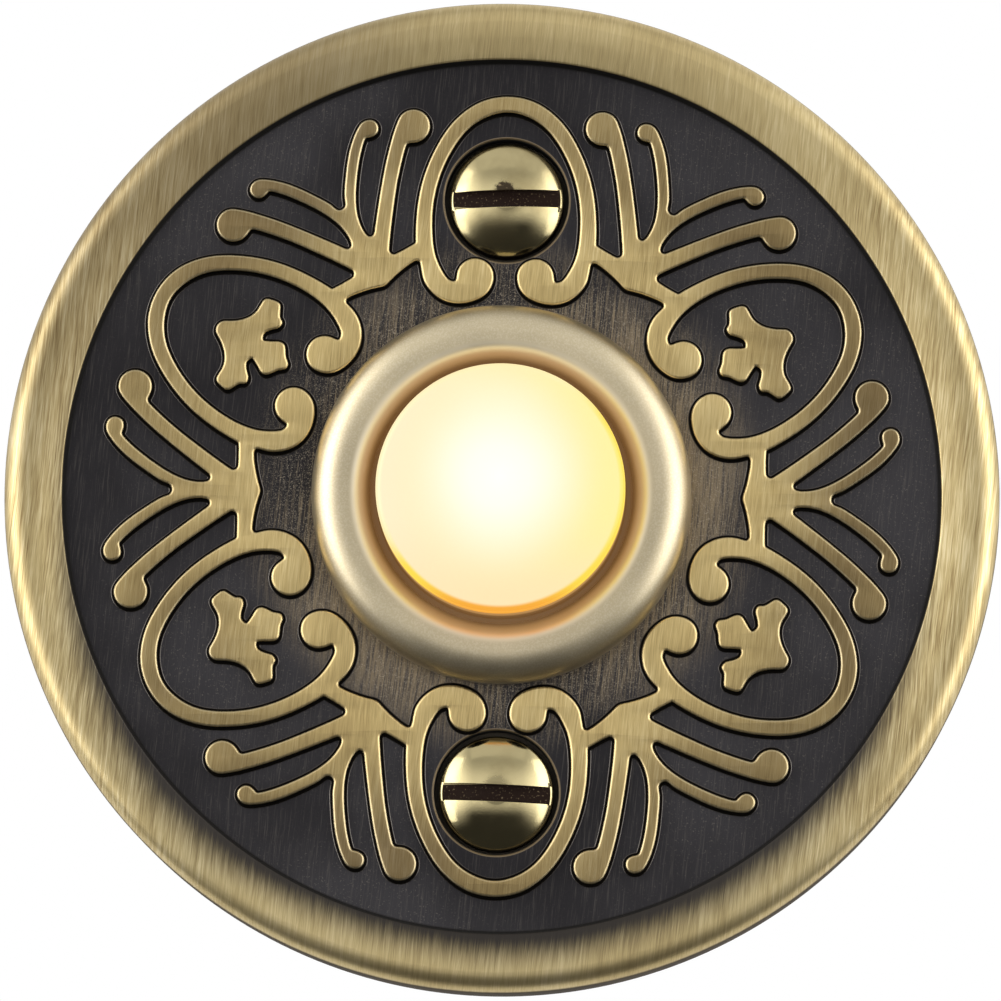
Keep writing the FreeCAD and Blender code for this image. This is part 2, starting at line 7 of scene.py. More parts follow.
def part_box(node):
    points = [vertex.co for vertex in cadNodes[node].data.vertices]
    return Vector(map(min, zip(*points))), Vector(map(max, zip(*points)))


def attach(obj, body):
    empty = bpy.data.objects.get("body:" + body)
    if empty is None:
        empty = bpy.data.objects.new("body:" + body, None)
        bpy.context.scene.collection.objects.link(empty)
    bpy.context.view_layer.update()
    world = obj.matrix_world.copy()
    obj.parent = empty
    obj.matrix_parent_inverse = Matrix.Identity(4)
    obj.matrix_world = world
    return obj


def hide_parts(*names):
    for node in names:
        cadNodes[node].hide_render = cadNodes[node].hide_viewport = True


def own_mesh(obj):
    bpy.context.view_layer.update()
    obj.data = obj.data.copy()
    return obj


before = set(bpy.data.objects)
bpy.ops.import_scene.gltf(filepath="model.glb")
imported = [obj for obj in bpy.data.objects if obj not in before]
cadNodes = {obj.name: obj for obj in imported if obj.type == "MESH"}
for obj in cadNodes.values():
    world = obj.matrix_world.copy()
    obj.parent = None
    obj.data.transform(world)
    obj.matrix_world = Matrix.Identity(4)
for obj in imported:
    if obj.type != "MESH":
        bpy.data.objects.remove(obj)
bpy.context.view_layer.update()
scene = bpy.context.scene
mm = 0.001
print("frame loaded with", len(cadNodes), "nodes")

# camera: a little below the plate's middle line, half a metre away
cameraSetup = {
    "aimPoint": (-0.05, -5.2, -0.39),  # mm, what the middle of the picture shows
    "plateMiddle": (0.0, -5.2, 0.0),
    "distance": 500.0,
    "azimuth": 1.0,
    "elevation": -6.15,
    "roll": 1.02,
    "lens": 282.2,
}


def makeCamera(setup):
    azimuth = math.radians(setup["azimuth"])
    elevation = math.radians(setup["elevation"])
    outward = Vector((
        math.sin(azimuth) * math.cos(elevation),
        -math.cos(azimuth) * math.cos(elevation),
        math.sin(elevation),
    ))
    place = (Vector(setup["plateMiddle"]) + outward * setup["distance"]) * mm
    sight = Vector(setup["aimPoint"]) * mm - place
    turn = sight.to_track_quat("-Z", "Y").to_matrix().to_4x4()
    roll = Matrix.Rotation(math.radians(setup["roll"]), 4, "Z")
    camera = bpy.data.objects.new("camera", bpy.data.cameras.new("camera"))
    camera.data.lens = setup["lens"]
    camera.data.sensor_width = 36
    camera.data.clip_start = 0.01
    camera.data.clip_end = 20
    camera.matrix_world = Matrix.Translation(place) @ turn @ roll
    scene.collection.objects.link(camera)
    scene.camera = camera


makeCamera(cameraSetup)
scene.view_settings.view_transform = "Standard"
print("camera ready")


# small helpers for shader nodes
def feed(tree, socket, value):
    if isinstance(value, bpy.types.NodeSocket):
        tree.links.new(value, socket)
    else:
        socket.default_value = value


def addNode(tree, kind, settings, inputs):
    node = tree.nodes.new(kind)
    for name, value in settings.items():
        setattr(node, name, value)
    for name, value in inputs.items():
        feed(tree, node.inputs[name], value)
    return node


def calc(tree, operation, first, second=0.0, clamp=False):
    settings = {"operation": operation, "use_clamp": clamp}
    return addNode(tree, "ShaderNodeMath", settings, {0: first, 1: second}).outputs[0]


def remap(tree, value, fromLow, fromHigh, toLow=0.0, toHigh=1.0, kind="SMOOTHSTEP"):
    inputs = {"Value": value, "From Min": fromLow, "From Max": fromHigh, "To Min": toLow, "To Max": toHigh}
    return addNode(tree, "ShaderNodeMapRange", {"interpolation_type": kind}, inputs).outputs[0]


def mixColour(tree, factor, first, second, blend="MIX"):
    settings = {"data_type": "RGBA", "blend_type": blend}
    return addNode(tree, "ShaderNodeMix", settings, {0: factor, 6: first, 7: second}).outputs[2]


def noiseOf(tree, vector, scale, detail=2.0, rough=0.5):
    inputs = {"Vector": vector, "Scale": scale, "Detail": detail, "Roughness": rough}
    return addNode(tree, "ShaderNodeTexNoise", {}, inputs).outputs["Fac"]


# noise drawn out into near upright streaks of a width and a length in millimetres
def streaksOf(tree, vector, lean, width, length, detail):
    turn = addNode(tree, "ShaderNodeCombineXYZ", {}, {"Y": calc(tree, "RADIANS", lean)}).outputs[0]
    inputs = {"Vector": vector, "Rotation": turn, "Scale": (width * mm, mm, length * mm)}
    turned = addNode(tree, "ShaderNodeMapping", {"vector_type": "TEXTURE"}, inputs).outputs[0]
    return noiseOf(tree, turned, 1.0, detail, 0.6)


def colourRamp(tree, value, stops):
    node = addNode(tree, "ShaderNodeValToRGB", {}, {"Fac": value})
    ramp = node.color_ramp
    while len(ramp.elements) < len(stops):
        ramp.elements.new(0.5)
    for element, (position, colour) in zip(ramp.elements, stops):
        element.position = position
        element.color = colour
    return node.outputs["Color"]


def newGroup(name, inputs, outputs):
    group = bpy.data.node_groups.new(name, "ShaderNodeTree")
    for label, value in inputs.items():
        socket = group.interface.new_socket(label, in_out="INPUT", socket_type="NodeSocketFloat")
        socket.default_value = value
    for label in outputs:
        group.interface.new_socket(label, in_out="OUTPUT", socket_type="NodeSocketFloat")
    return group, group.nodes.new("NodeGroupInput").outputs, group.nodes.new("NodeGroupOutput").inputs


def useGroup(tree, group, inputs=None):
    return addNode(tree, "ShaderNodeGroup", {"node_tree": group}, inputs or {}).outputs


# where a point is on the button: millimetres from the axis, and out from the wall
def placeGroup():
    group, given, result = newGroup("placeOnButton", {"Centre Z": 0.0}, ("Radius", "Depth", "Side", "Up"))
    point = addNode(group, "ShaderNodeTexCoord", {}, {}).outputs["Object"]
    parts = addNode(group, "ShaderNodeSeparateXYZ", {}, {0: point}).outputs
    side = calc(group, "MULTIPLY", parts[0], 1000.0)
    up = calc(group, "SUBTRACT", calc(group, "MULTIPLY", parts[2], 1000.0), given["Centre Z"])
    squares = calc(group, "ADD", calc(group, "MULTIPLY", side, side), calc(group, "MULTIPLY", up, up))
    feed(group, result["Radius"], calc(group, "SQRT", squares))
    feed(group, result["Depth"], calc(group, "MULTIPLY", parts[1], -1000.0))
    feed(group, result["Side"], side)
    feed(group, result["Up"], up)
    return group


# near upright brushing: fine streaks, longer and broader ones, and a few crossing scratches
def brushingGroup():
    group, given, result = newGroup("brushing", {"Lean": 5.0}, ("Streaks", "Shade", "Scratches"))
    point = addNode(group, "ShaderNodeTexCoord", {}, {}).outputs["Object"]
    waves = {"Vector": point, "Scale": 240.0, "Detail": 1.0}
    drift = addNode(group, "ShaderNodeTexNoise", {}, waves).outputs["Color"]
    sway = addNode(group, "ShaderNodeVectorMath", {"operation": "SCALE"}, {0: drift, "Scale": 0.25 * mm}).outputs[0]
    swayed = addNode(group, "ShaderNodeVectorMath", {"operation": "ADD"}, {0: point, 1: sway}).outputs[0]
    feed(group, result["Streaks"], streaksOf(group, swayed, given["Lean"], 0.07, 2.2, 2.0))
    feed(group, result["Shade"], streaksOf(group, swayed, given["Lean"], 0.22, 4.5, 3.0))
    crossing = calc(group, "ADD", given["Lean"], 9.0)
    scratch = streaksOf(group, swayed, crossing, 0.08, 1.8, 1.0)
    feed(group, result["Scratches"], remap(group, scratch, 0.64, 0.74))
    return group


# uneven tone and small specks, for patina, plastic and plated parts
def mottleGroup():
    group, given, result = newGroup("mottle", {"Patch Size": 1.0, "Grain Size": 1.0}, ("Patches", "Specks", "Grain"))
    point = addNode(group, "ShaderNodeTexCoord", {}, {}).outputs["Object"]
    patchScale = calc(group, "DIVIDE", 420.0, given["Patch Size"])
    grainScale = calc(group, "DIVIDE", 6500.0, given["Grain Size"])
    feed(group, result["Patches"], noiseOf(group, point, patchScale, 3.0, 0.55))
    grain = noiseOf(group, point, grainScale, 2.0, 0.6)
    feed(group, result["Grain"], grain)
    feed(group, result["Specks"], remap(group, grain, 0.6, 0.74))
    return group


placeOnButton = placeGroup()
brushing = brushingGroup()
mottle = mottleGroup()


def newMaterial(name, constants):
    material = bpy.data.materials.new(name)
    material.use_nodes = True
    tree = material.node_tree
    shader = tree.nodes["Principled BSDF"]
    for label, value in constants.items():
        shader.inputs[label].default_value = value
    return material, tree, shader.inputs


def bumpFrom(tree, height, strength, distance):
    inputs = {"Height": height, "Strength": strength, "Distance": distance * mm}
    return addNode(tree, "ShaderNodeBump", {}, inputs).outputs[0]


# antique brass of the plate: brushed high parts, dark patina in the low ones
plateFinish = {
    "gold": ((0.33, 0.23, 0.095, 1), (0.60, 0.455, 0.20, 1), (0.82, 0.68, 0.37, 1)),
    "rimBrass": ((0.27, 0.185, 0.08, 1), (0.55, 0.435, 0.215, 1), (0.82, 0.70, 0.43, 1)),
    # shoulder: pale brass along the relief's edges, rubbed wear with a painted highlight
    "shoulder": (0.80, 0.68, 0.42, 1),
    "agedShare": (0.36, 0.34, 0.36, 1),
    "patina": (0.030, 0.028, 0.030, 1),
    "patinaPale": (0.058, 0.055, 0.059, 1),
    # worn patina, also the painted reflection along the scrollwork foot's outer edge
    "wornPatinaAndSheen": (0.15, 0.135, 0.12, 1),
    # black patina with painted shade, for the relief's walls, the rim's foot, the screw seats and the scrollwork's foot
    "patinaAndShadeBlack": (0.006, 0.005, 0.004, 1),
    "rubbed": (0.27, 0.21, 0.135, 1),
    "grit": (0.50, 0.43, 0.33, 1),
    # the plate's side: dull brown, darkened as painted shade
    "sideShadeBrown": (0.085, 0.06, 0.03, 1),
    "sideShadeDark": (0.035, 0.026, 0.016, 1),
    "castBack": (0.20, 0.165, 0.11, 1),
    "fieldDepth": 4.6,
    "reliefTop": 5.2,
    "rimInner": 28.0,
    "seatHeight": 19.0,
    "seatRadius": 3.95,
    "goldenRadius": 15.5,
    "agedRadius": 23.5,
}


def centred(tree, value, gain):
    return calc(tree, "MULTIPLY", calc(tree, "SUBTRACT", value, 0.5), gain)


def brushedBrassColour(tree, tones, gain):
    lines = useGroup(tree, brushing)
    tone = useGroup(tree, mottle, {"Patch Size": 3.0, "Grain Size": 0.8})
    level = calc(tree, "ADD", centred(tree, lines["Streaks"], 1.1), centred(tree, lines["Shade"], 0.6))
    level = calc(tree, "MULTIPLY", level, gain)
    level = calc(tree, "ADD", calc(tree, "ADD", level, centred(tree, tone["Patches"], 0.6)), 0.5)
    level = calc(tree, "ADD", level, calc(tree, "MULTIPLY", lines["Scratches"], 0.1))
    return colourRamp(tree, level, list(zip((0.0, 0.5, 1.0), tones))), lines, tone


def aged(tree, finish, amount, colour):
    return mixColour(tree, amount, colour, finish["agedShare"], "MULTIPLY")


def scrollMaterial(finish):
    material, tree, shader = newMaterial("scrollBrass", {"Metallic": 1.0})
    place = useGroup(tree, placeOnButton)
    colour, lines, tone = brushedBrassColour(tree, finish["gold"], 0.85)
    grime = useGroup(tree, mottle, {"Patch Size": 7.0})
    # golden near the ring, greyer towards the tips
    far = remap(tree, place["Radius"], finish["goldenRadius"], finish["agedRadius"])
    patchy = remap(tree, grime["Patches"], 0.35, 0.62, 0.55, 1.0)
    worn = calc(tree, "MULTIPLY", far, patchy)
    colour = aged(tree, finish, worn, colour)
    # brighter along the shoulder, as rubbed wear and a painted highlight, most where the top has darkened, and black
    # down the wall as patina with painted shade
    top = finish["reliefTop"]
    shoulder = remap(tree, place["Depth"], top - 0.004, top - 0.025)
    shoulder = calc(tree, "MULTIPLY", shoulder, remap(tree, worn, 0.0, 1.0, 0.25, 0.5))
    colour = mixColour(tree, shoulder, colour, finish["shoulder"])
    wall = remap(tree, place["Depth"], top - 0.07, top - 0.13)
    feed(tree, shader["Base Color"], mixColour(tree, wall, colour, finish["patinaAndShadeBlack"]))
    feed(tree, shader["Roughness"], remap(tree, lines["Streaks"], 0.3, 0.7, 0.36, 0.46))
    feed(tree, shader["Normal"], bumpFrom(tree, lines["Streaks"], 0.3, 0.02))
    return material


def plateMaterial(finish):
    material, tree, shader = newMaterial("platePatina", {"Specular IOR Level": 0.2})
    place = useGroup(tree, placeOnButton)
    # the brushing shows most where it runs along the rim, at the left and right
    atSides = remap(tree, calc(tree, "ABSOLUTE", place["Side"]), 12.0, 28.0, 0.55, 1.35)
    rimColour, lines, tone = brushedBrassColour(tree, finish["rimBrass"], atSides)
    grime = useGroup(tree, mottle, {"Patch Size": 8.0, "Grain Size": 1.6})
    inner = finish["rimInner"]
    # patina creeps over the rim from its inner edge, in feathers, most of it low down
    lowReach = remap(tree, place["Up"], 8.0, -27.0, -1.1, 1.5)
    leftReach = remap(tree, place["Side"], -14.0, -28.0, 0.0, 0.5)
    reach = calc(tree, "ADD", lowReach, leftReach)
    feather = calc(tree, "ADD", centred(tree, lines["Streaks"], 0.9), centred(tree, lines["Shade"], 0.5))
    across = calc(tree, "SUBTRACT", calc(tree, "SUBTRACT", place["Radius"], inner), reach)
    across = calc(tree, "ADD", calc(tree, "ADD", across, feather), centred(tree, grime["Patches"], 2.0))
    covered = remap(tree, across, -1.3, 1.3, 0.97, 0.0)
    # the upper left of the rim is greyer all over
    leftward = calc(tree, "SUBTRACT", calc(tree, "MULTIPLY", place["Up"], 0.45), place["Side"])
    grey = calc(tree, "MULTIPLY", remap(tree, leftward, 10.0, 28.0), remap(tree, grime["Patches"], 0.3, 0.6, 0.4, 1.0))
    grey = calc(tree, "MULTIPLY", grey, remap(tree, place["Up"], -6.0, 6.0))
    rimColour = aged(tree, finish, calc(tree, "MULTIPLY", grey, 0.7), rimColour)
    rimColour = mixColour(tree, covered, rimColour, finish["patina"])
    # the field: dark, finely scratched and specked, gritty and rubbed near the ring
    fieldColour = mixColour(tree, remap(tree, grime["Patches"], 0.35, 0.65), finish["patina"], finish["patinaPale"])
    wear = remap(tree, lines["Streaks"], 0.5, 0.8, 0.0, 0.35)
    fieldColour = mixColour(tree, wear, fieldColour, finish["wornPatinaAndSheen"])
    specked = calc(tree, "MULTIPLY", tone["Specks"], remap(tree, grime["Patches"], 0.4, 0.6, 0.1, 0.8))
    fieldColour = mixColour(tree, specked, fieldColour, finish["wornPatinaAndSheen"])
    nearRing = remap(tree, place["Radius"], 17.5, 13.0)
    bare = calc(tree, "ADD", grime["Patches"], centred(tree, lines["Streaks"], 0.7))
    bare = calc(tree, "MULTIPLY", nearRing, remap(tree, bare, 0.38, 0.68))
    fieldColour = mixColour(tree, bare, fieldColour, finish["rubbed"])
    grain = useGroup(tree, mottle, {"Patch Size": 0.35, "Grain Size": 0.45})
    gritty = calc(tree, "MULTIPLY", nearRing, remap(tree, grain["Grain"], 0.5, 0.8, 0.0, 0.7))
    fieldColour = mixColour(tree, gritty, fieldColour, finish["grit"])
    # black patina and painted shade at the rim's foot and down the screws' seats, whose edges are rubbed
    low = remap(tree, place["Radius"], inner - 0.3, inner - 0.12)
    onRim = remap(tree, place["Radius"], inner - 0.02, inner + 0.08)
    seatRadius = finish["seatRadius"]
    for side in (1, -1):
        seat = useGroup(tree, placeOnButton, {"Centre Z": side * finish["seatHeight"]})
        seatEdge = remap(tree, seat["Radius"], seatRadius + 0.18, seatRadius + 0.12, 0.0, 0.9)
        fieldColour = mixColour(tree, seatEdge, fieldColour, finish["rubbed"])
        down = remap(tree, seat["Radius"], seatRadius + 0.05, seatRadius + 0.02)
        low = calc(tree, "ADD", low, down, True)
    colour = mixColour(tree, low, fieldColour, finish["patinaAndShadeBlack"])
    colour = mixColour(tree, onRim, colour, rimColour)
    behind = remap(tree, place["Depth"], 3.6, 2.7)
    inside = remap(tree, place["Radius"], 30.1, 30.0)
    back = calc(tree, "MULTIPLY", behind, inside)
    castColour = mixColour(tree, tone["Grain"], finish["castBack"], finish["wornPatinaAndSheen"])
    colour = mixColour(tree, back, colour, castColour)
    # the plate's side is dull and brown, darkened as painted shade
    outside = remap(tree, place["Radius"], 31.6, 31.7)
    wall = calc(tree, "MULTIPLY", outside, remap(tree, place["Depth"], 5.1, 4.7))
    sideShadeColour = mixColour(tree, tone["Patches"], finish["sideShadeBrown"], finish["sideShadeDark"])
    feed(tree, shader["Base Color"], mixColour(tree, wall, colour, sideShadeColour))
    onField = calc(tree, "SUBTRACT", 1.0, onRim)
    dull = calc(tree, "MAXIMUM", wall, calc(tree, "MULTIPLY", low, onField))
    feed(tree, shader["Metallic"], calc(tree, "SUBTRACT", 1.0, dull))
    feed(tree, shader["Roughness"], remap(tree, dull, 0.0, 1.0, 0.43, 0.85))
    height = calc(tree, "ADD", lines["Streaks"], calc(tree, "MULTIPLY", gritty, 2.0))
    feed(tree, shader["Normal"], bumpFrom(tree, height, 0.3, 0.02))
    return material


def footMaterial(finish):
    material, tree, shader = newMaterial("scrollFoot", {"Metallic": 1.0})
    place = useGroup(tree, placeOnButton)
    tone = useGroup(tree, mottle, {"Patch Size": 3.0})
    # black patina and painted shade on the scrollwork's foot, with a painted reflection as a pale line along its outer
    # edge
    edge = remap(tree, place["Depth"], finish["fieldDepth"] + 0.022, finish["fieldDepth"] + 0.004)
    edge = calc(tree, "MULTIPLY", edge, remap(tree, tone["Patches"], 0.35, 0.65, 0.5, 1.0))
    feed(tree, shader["Base Color"], mixColour(tree, edge, finish["patinaAndShadeBlack"], finish["wornPatinaAndSheen"]))
    feed(tree, shader["Roughness"], remap(tree, tone["Grain"], 0.3, 0.7, 0.26, 0.38))
    return material


# satin ring round the cap
ringFinish = {
    "brass": (0.62, 0.53, 0.36, 1),
    "shade": (0.55, 0.465, 0.30, 1),
    # worn: near-white, the painted reflection of the cap's glow on the ring's slope round the cap
    "worn": (0.94, 0.87, 0.71, 1),
    "glowReflectionRadius": 9.8,
}


def satinMaterial(finish):
    material, tree, shader = newMaterial("satinBrass", {"Metallic": 1.0})
    place = useGroup(tree, placeOnButton)
    tone = useGroup(tree, mottle, {"Patch Size": 3.0, "Grain Size": 0.7})
    colour = mixColour(tree, tone["Patches"], finish["shade"], finish["brass"])
    # paler on the slope round the cap, a painted reflection of the cap's glow
    rubbed = remap(tree, place["Radius"], finish["glowReflectionRadius"], finish["glowReflectionRadius"] - 0.7, 0.0, 0.85)
    rubbed = calc(tree, "MAXIMUM", rubbed, remap(tree, tone["Grain"], 0.4, 0.7, 0.0, 0.2))
    feed(tree, shader["Base Color"], mixColour(tree, rubbed, colour, finish["worn"]))
    feed(tree, shader["Roughness"], remap(tree, tone["Patches"], 0.3, 0.7, 0.38, 0.46))
    feed(tree, shader["Normal"], bumpFrom(tree, tone["Grain"], 0.08, 0.015))
    return material


# polished screw heads, uneven, with the slot left dark
screwFinish = {
    "brass": (0.52, 0.44, 0.235, 1),
    "tarnish": (0.30, 0.235, 0.11, 1),
    # dark colour for the slot, for a clot of dirt, and for painted shade down the head's side
    "slotDirtAndShade": (0.014, 0.006, 0.003, 1),
    "slotSpeck": (0.22, 0.16, 0.09, 1),
    "slotFloor": 4.46,
    "slotHalfWidth": 0.55,
    "slotTop": 5.24,
    "headEdge": 4.29,
    "clotHeight": 0.5,
}


# clot: how much dirt sticks above the middle of the slot
def screwMaterial(name, finish, centreZ, clot):
    material, tree, shader = newMaterial(name, {"Specular IOR Level": 0.12})
    place = useGroup(tree, placeOnButton, {"Centre Z": centreZ})
    tone = useGroup(tree, mottle, {"Patch Size": 1.2, "Grain Size": 1.0})
    wide = useGroup(tree, mottle, {"Patch Size": 3.0})
    colour = mixColour(tree, remap(tree, tone["Patches"], 0.45, 0.75, 0.0, 0.5), finish["brass"], finish["tarnish"])
    rise = calc(tree, "ABSOLUTE", place["Up"])
    # dark down the slot: away from its upper and lower edges at each place along it, and the floor
    across = calc(tree, "SUBTRACT", rise, calc(tree, "MULTIPLY", place["Side"], 0.03))
    inSlot = remap(tree, across, finish["slotHalfWidth"] + 0.1, finish["slotHalfWidth"] + 0.03)
    squares = calc(tree, "MULTIPLY", place["Radius"], place["Radius"])
    surface = calc(tree, "SUBTRACT", finish["slotTop"], calc(tree, "MULTIPLY", squares, 0.0745))
    below = remap(tree, calc(tree, "SUBTRACT", surface, place["Depth"]), -0.03, 0.03)
    nearFloor = remap(tree, place["Depth"], finish["slotFloor"] + 0.03, finish["slotFloor"] + 0.01)
    inHead = remap(tree, place["Radius"], 3.46, 3.42)
    dirtAndShade = calc(tree, "MULTIPLY", calc(tree, "MULTIPLY", calc(tree, "MAXIMUM", below, nearFloor), inSlot), inHead)
    # painted shade down the head's side, in the gap to its seat, but not on the shank and its thread
    headSide = remap(tree, place["Depth"], finish["headEdge"], finish["headEdge"] - 0.1)
    headSide = calc(tree, "MULTIPLY", headSide, remap(tree, place["Radius"], 2.6, 3.0))
    dirtAndShade = calc(tree, "MAXIMUM", dirtAndShade, headSide)
    lump = useGroup(tree, placeOnButton, {"Centre Z": centreZ + finish["clotHeight"]})
    crumbs = useGroup(tree, mottle, {"Patch Size": 0.4, "Grain Size": 0.8})
    ragged = calc(tree, "ADD", lump["Radius"], centred(tree, crumbs["Patches"], 1.1))
    ragged = calc(tree, "ADD", ragged, centred(tree, crumbs["Grain"], 0.5))
    dirtAndShade = calc(tree, "MAXIMUM", dirtAndShade, remap(tree, ragged, 0.75, 0.5, 0.0, clot))
    dirtAndShadeColour = mixColour(tree, tone["Specks"], finish["slotDirtAndShade"], finish["slotSpeck"])
    feed(tree, shader["Base Color"], mixColour(tree, dirtAndShade, colour, dirtAndShadeColour))
    feed(tree, shader["Metallic"], calc(tree, "SUBTRACT", 1.0, dirtAndShade))
    shine = remap(tree, tone["Patches"], 0.3, 0.7, 0.1, 0.22)
    feed(tree, shader["Roughness"], calc(tree, "ADD", shine, calc(tree, "MULTIPLY", dirtAndShade, 0.5)))
    waves = calc(tree, "ADD", calc(tree, "MULTIPLY", wide["Patches"], 3.0), calc(tree, "MULTIPLY", tone["Patches"], 0.8))
    waves = calc(tree, "ADD", waves, calc(tree, "MULTIPLY", tone["Grain"], 0.2))
    feed(tree, shader["Normal"], bumpFrom(tree, waves, 0.5, 0.02))
    return material


# the glowing cap: white in the middle, cream at the edge, yellow to amber down its side
capFinish = {
    "glow": [
        (0.0, (0.96, 0.96, 0.93, 1)),
        (0.28, (0.96, 0.95, 0.84, 1)),
        (0.55, (0.96, 0.89, 0.64, 1)),
        (0.85, (0.95, 0.81, 0.46, 1)),
        (1.0, (0.94, 0.76, 0.38, 1)),
    ],
    "left": (0.96, 0.80, 0.54, 1),
    "right": (0.95, 0.82, 0.32, 1),
    "rose": (0.96, 0.72, 0.42, 1),
    "sidePale": (0.96, 0.80, 0.42, 1),
    "side": (0.94, 0.68, 0.05, 1),
    "underside": (0.90, 0.38, 0.025, 1),
    "shade": (0.40, 0.21, 0.07, 1),
    "root": (0.14, 0.065, 0.02, 1),
    "body": (0.06, 0.048, 0.026, 1),
    "bodyPale": (0.09, 0.075, 0.045, 1),
    "faceRadius": 7.9,
    "frontDepth": 9.85,
    "glowHeight": 0.7,
}


def capMaterial(finish):
    material, tree, shader = newMaterial("litCap", {"Roughness": 0.35, "Emission Strength": 1.0})
    place = useGroup(tree, placeOnButton)
    core = useGroup(tree, placeOnButton, {"Centre Z": finish["glowHeight"]})
    tone = useGroup(tree, mottle, {"Patch Size": 9.0})
    share = calc(tree, "DIVIDE", core["Radius"], finish["faceRadius"])
    uneven = calc(tree, "ADD", share, remap(tree, tone["Patches"], 0.3, 0.7, -0.05, 0.05))
    face = colourRamp(tree, uneven, finish["glow"])
    # yellower to the right, rosier to the left and low down
    outer = remap(tree, share, 0.3, 1.0)
    leftward = calc(tree, "MULTIPLY", outer, remap(tree, place["Side"], 0.5, -7.0))
    rightward = calc(tree, "MULTIPLY", outer, remap(tree, place["Side"], -0.5, 7.0))
    downward = calc(tree, "MULTIPLY", outer, remap(tree, place["Up"], -1.0, -7.5))
    face = mixColour(tree, leftward, face, finish["left"])
    face = mixColour(tree, rightward, face, finish["right"])
    face = mixColour(tree, calc(tree, "MULTIPLY", downward, 0.8), face, finish["rose"])
    # the rounded edge turns yellow to the right and orange below, and darkens down the side
    slanted = calc(tree, "SUBTRACT", calc(tree, "MULTIPLY", place["Side"], 0.6), calc(tree, "MULTIPLY", place["Up"], 0.8))
    lit = remap(tree, slanted, -3.6, 0.8)
    side = mixColour(tree, lit, finish["sidePale"], finish["side"])
    side = mixColour(tree, remap(tree, place["Up"], -5.6, -7.7), side, finish["underside"])
    front = finish["frontDepth"]
    crescent = calc(tree, "MULTIPLY", remap(tree, place["Radius"], 7.45, 7.7), calc(tree, "MAXIMUM", lit, 0.6))
    glow = mixColour(tree, crescent, face, side)
    glow = mixColour(tree, remap(tree, place["Depth"], front - 0.3, front - 0.55), glow, side)
    glow = mixColour(tree, remap(tree, place["Depth"], front - 1.3, front - 2.0), glow, finish["shade"])
    glow = mixColour(tree, remap(tree, place["Depth"], front - 2.5, front - 3.8), glow, finish["root"])
    feed(tree, shader["Base Color"], mixColour(tree, tone["Grain"], finish["body"], finish["bodyPale"]))
    feed(tree, shader["Emission Color"], glow)
    return material


# plain parts behind the front, each with its own grain
plainFinishes = {
    "zincPlate": {"colour": (0.55, 0.56, 0.57, 1), "other": (0.42, 0.43, 0.45, 1), "metal": 1.0, "rough": (0.28, 0.42)},
    "ivoryPlastic": {"colour": (0.76, 0.72, 0.60, 1), "other": (0.70, 0.65, 0.53, 1), "metal": 0.0, "rough": (0.38, 0.5)},
    "stripBrass": {"colour": (0.60, 0.44, 0.22, 1), "other": (0.48, 0.33, 0.15, 1), "metal": 1.0, "rough": (0.25, 0.4)},
    "darkPlastic": {"colour": (0.075, 0.06, 0.05, 1), "other": (0.05, 0.042, 0.036, 1), "metal": 0.0, "rough": (0.4, 0.55)},
    "springSteel": {"colour": (0.40, 0.40, 0.41, 1), "other": (0.28, 0.28, 0.29, 1), "metal": 1.0, "rough": (0.22, 0.36)},
    "tinnedWire": {"colour": (0.66, 0.66, 0.64, 1), "other": (0.50, 0.50, 0.49, 1), "metal": 1.0, "rough": (0.2, 0.35)},
    "terminalBrass": {"colour": (0.62, 0.49, 0.24, 1), "other": (0.48, 0.36, 0.16, 1), "metal": 1.0, "rough": (0.22, 0.36)},
}


def plainMaterial(name, finish):
    material, tree, shader = newMaterial(name, {"Metallic": finish["metal"]})
    tone = useGroup(tree, mottle, {"Patch Size": 1.5, "Grain Size": 1.5})
    low, high = finish["rough"]
    colour = mixColour(tree, remap(tree, tone["Patches"], 0.35, 0.65), finish["colour"], finish["other"])
    colour = mixColour(tree, calc(tree, "MULTIPLY", tone["Specks"], 0.35), colour, finish["other"])
    feed(tree, shader["Base Color"], colour)
    feed(tree, shader["Roughness"], remap(tree, tone["Patches"], 0.3, 0.7, low, high))
    feed(tree, shader["Normal"], bumpFrom(tree, tone["Grain"], 0.2, 0.01))
    return material


def glassMaterial():
    constants = {"Transmission Weight": 0.9, "IOR": 1.5, "Emission Strength": 0.8}
    material, tree, shader = newMaterial("lampGlass", constants)
    tone = useGroup(tree, mottle, {"Patch Size": 1.0})
    warm = mixColour(tree, tone["Patches"], (1.0, 0.93, 0.75, 1), (1.0, 0.86, 0.6, 1))
    feed(tree, shader["Base Color"], warm)
    feed(tree, shader["Emission Color"], mixColour(tree, 0.5, warm, (1.0, 0.75, 0.4, 1)))
    feed(tree, shader["Roughness"], remap(tree, tone["Grain"], 0.3, 0.7, 0.02, 0.08))
    return material


finishes = {name: plainMaterial(name, values) for name, values in plainFinishes.items()}
finishes["lampGlass"] = glassMaterial()
scrollBrass = scrollMaterial(plateFinish)
scrollFoot = footMaterial(plateFinish)
platePatina = plateMaterial(plateFinish)
satinBrass = satinMaterial(ringFinish)
litCap = capMaterial(capFinish)
print("materials ready")


# small helpers for meshes; corners are (radius, y, set-back of the rounding), in millimetres
def profileShape(corners, closed, segments):
    shape = bmesh.new()
    made = [shape.verts.new((radius * mm, y * mm, 0)) for radius, y, setBack in corners]
    for first, second in zip(made, made[1:]):
        shape.edges.new((first, second))
    if closed:
        shape.edges.new((made[-1], made[0]))
    for vert, (radius, y, setBack) in zip(made, corners):
        if setBack > 0:
            bmesh.ops.bevel(shape, geom=[vert], offset=setBack * mm, segments=segments,
                            profile=0.5, affect="VERTICES", material=-1)
    return shape


